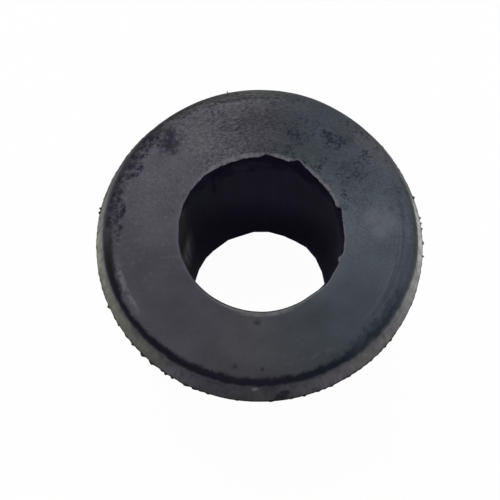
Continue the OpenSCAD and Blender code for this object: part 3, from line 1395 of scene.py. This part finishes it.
# %% [markdown]
# ## Floor and light
#
# A small black part needs a plain pale floor and broad, soft light. The sky
# lights it weakly and evenly. A large soft lamp high behind the part gives the
# flat face its sheen and leaves the shoulder that faces the viewer dark, which is
# what makes the form read. A small weak lamp in front reaches down into the bore,
# and a low one on the right brightens the drafted side there. The floor keeps the
# shadow, but rays from the camera and from reflections see it and the sky lifted
# towards white, so that both stay clean without more light on the part.

# %% Floor
floor_half = 2.0
floor_grey = (0.85, 0.85, 0.85, 1)
floor_lift = 0.975


def seen_by_viewer(tree):
    """1 for rays that come from the camera, straight or through a reflection or glass."""
    rays = add(tree, "ShaderNodeLightPath").outputs
    return either(rays["Is Camera Ray"], rays["Is Glossy Ray"], rays["Is Transmission Ray"])


def studio_floor(half):
    """A wide plane under the part with a pale, clean finish."""
    floor_mesh = bpy.data.meshes.new("floor")
    rim = [(-half, -half, 0), (half, -half, 0), (half, half, 0), (-half, half, 0)]
    floor_mesh.from_pydata(rim, [], [(0, 1, 2, 3)])
    floor = bpy.data.objects.new("floor", floor_mesh)
    bpy.context.scene.collection.objects.link(floor)
    material = bpy.data.materials.new("pale_floor")
    material.use_nodes = True
    tree = material.node_tree
    paint = tree.nodes["Principled BSDF"]
    paint.inputs["Base Color"].default_value = floor_grey
    paint.inputs["Roughness"].default_value = 0.8
    glow = add(tree, "ShaderNodeEmission", {"Color": (1, 1, 1, 1), "Strength": 1.0}).outputs[0]
    lift = both(seen_by_viewer(tree), floor_lift)
    lifted = add(tree, "ShaderNodeMixShader", {0: lift, 1: paint.outputs[0], 2: glow})
    tree.links.new(lifted.outputs[0], tree.nodes["Material Output"].inputs["Surface"])
    floor_mesh.materials.append(material)
    print("floor:", 2 * half, "m wide")


studio_floor(floor_half)


# %% Sky and lamps
def soft_lamp(name, azimuth, elevation, distance, size, level):
    """A square lamp that looks at the part. Level 1 lights a white surface facing it to white."""
    lamp = bpy.data.lights.new(name, "AREA")
    lamp.shape = "SQUARE"
    lamp.size = size
    lamp.energy = level * math.pi ** 2 * distance ** 2
    turn, tilt = math.radians(azimuth), math.radians(elevation)
    towards = Vector((math.cos(turn) * math.cos(tilt), math.sin(turn) * math.cos(tilt), math.sin(tilt)))
    holder = bpy.data.objects.new(name, lamp)
    holder.location = Vector((0, 0, total_h)) + towards * distance
    holder.rotation_euler = towards.to_track_quat("Z", "Y").to_euler()
    bpy.context.scene.collection.objects.link(holder)
    print("lamp:", name, "at", [round(value / MM) for value in holder.location], "mm")


def soft_sky(level):
    """An even white sky that lights the part at this level and looks white itself."""
    sky = bpy.data.worlds.new("soft_sky")
    sky.use_nodes = True
    tree = sky.node_tree
    background = tree.nodes["Background"]
    background.inputs["Color"].default_value = (1, 1, 1, 1)
    tree.links.new(either(seen_by_viewer(tree), level), background.inputs["Strength"])
    bpy.context.scene.world = sky


soft_sky(0.35)
soft_lamp("back_key", 105, 58, 0.70, 0.50, 0.60)
soft_lamp("front_fill", 262, 43, 0.60, 0.14, 0.12)
soft_lamp("right_fill", -4, 7, 0.60, 0.10, 0.22)

# %% [markdown]
# ## Camera
#
# The camera looks steeply down on the flat face, close enough that the near side
# of the flange opens up under the shoulder. It is set by how high it looks from,
# how far it stands from the face, how far it leans to one side, and how far the
# face's middle sits from the middle of the frame.

# %% Place the camera
camera_elevation = math.radians(71.45)
camera_distance = 194.8 * MM
camera_lean = math.radians(1.2)
camera_lens = 93.6
sensor_width = 36.0
off_right = 1.46 * MM
off_up = 2.89 * MM

look = Vector((0, math.cos(camera_elevation), -math.sin(camera_elevation)))
level_right = Vector((1, 0, 0))
level_up = level_right.cross(look)
right = level_right * math.cos(camera_lean) - level_up * math.sin(camera_lean)
upward = level_right * math.sin(camera_lean) + level_up * math.cos(camera_lean)
camera_data = bpy.data.cameras.new("camera")
camera_data.lens = camera_lens
camera_data.sensor_width = sensor_width
camera_data.clip_start = 0.01
camera = bpy.data.objects.new("camera", camera_data)
place = Vector((0, 0, total_h)) - look * camera_distance - right * off_right - upward * off_up
turn = Matrix((right, upward, -look)).transposed()
camera.matrix_world = Matrix.Translation(place) @ turn.to_4x4()
bpy.context.scene.collection.objects.link(camera)
bpy.context.scene.camera = camera
bpy.context.scene.view_settings.view_transform = "Standard"
print("camera at", [round(value / MM, 1) for value in place], "mm")
